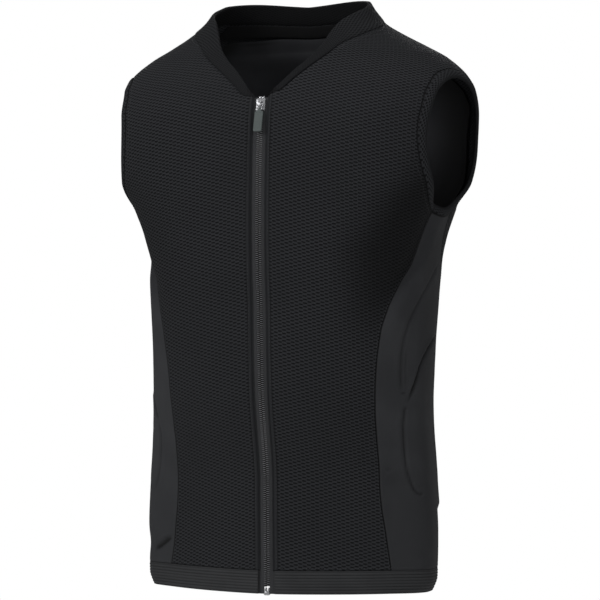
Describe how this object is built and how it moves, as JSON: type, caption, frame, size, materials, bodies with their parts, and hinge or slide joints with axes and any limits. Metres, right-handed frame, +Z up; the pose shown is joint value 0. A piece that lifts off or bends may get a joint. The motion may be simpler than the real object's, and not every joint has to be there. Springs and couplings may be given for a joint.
{
  "type": "back protector vest",
  "caption": "Sleeveless black mesh vest with a front zip, smooth side panels, a low band collar, ribbed hem and a flexible protector pad in a pocket over the back.",
  "frame": {"origin": "on the body's axis, level with the neck seam on the shoulders, where the vest rests on its wearer", "axes": "+Z up, -Y the way the wearer faces, +X towards the wearer's left"},
  "size_m": [0.379, 0.2309, 0.6121],
  "materials": {
    "mesh_cloth": "matt black knitted mesh",
    "side_cloth": "smooth matt charcoal stretch cloth",
    "rib_cloth": "fine horizontal rib",
    "inner_cloth": "smooth black lining",
    "tape_cloth": "woven zip tape",
    "pad_foam": "soft matt foam",
    "dark_teeth": "semi-matt black",
    "silver": "bright silver",
    "tab_rubber": "matt grey-green"
  },
  "bodies": {
    "vest": {"front_panel_left": "mesh_cloth", "front_panel_right": "mesh_cloth", "back_panel": "mesh_cloth", "collar": "mesh_cloth", "side_panel_left": "side_cloth", "side_panel_right": "side_cloth", "armhole_binding_left": "side_cloth", "armhole_binding_right": "side_cloth", "hem_band": "rib_cloth", "neck_facing": "inner_cloth", "back_lining": "inner_cloth", "protector_pad": "pad_foam", "zip_tape_left": "tape_cloth", "zip_tape_right": "tape_cloth", "zip_chain": "dark_teeth", "zip_slider": "silver", "top_stop_left": "silver", "top_stop_right": "silver", "retainer_box": "silver", "insertion_pin": "silver"},
    "zipper_pull": {"pull_link": "silver", "pull_tab": "tab_rubber"}
  },
  "joints": [
    {"name": "pull_hinge", "type": "hinge", "parent": "vest", "child": "zipper_pull", "pos_m": [0, -0.10003, -0.08941], "axis": [-1, 0, 0], "range_deg": [0, 150]}
  ]
}
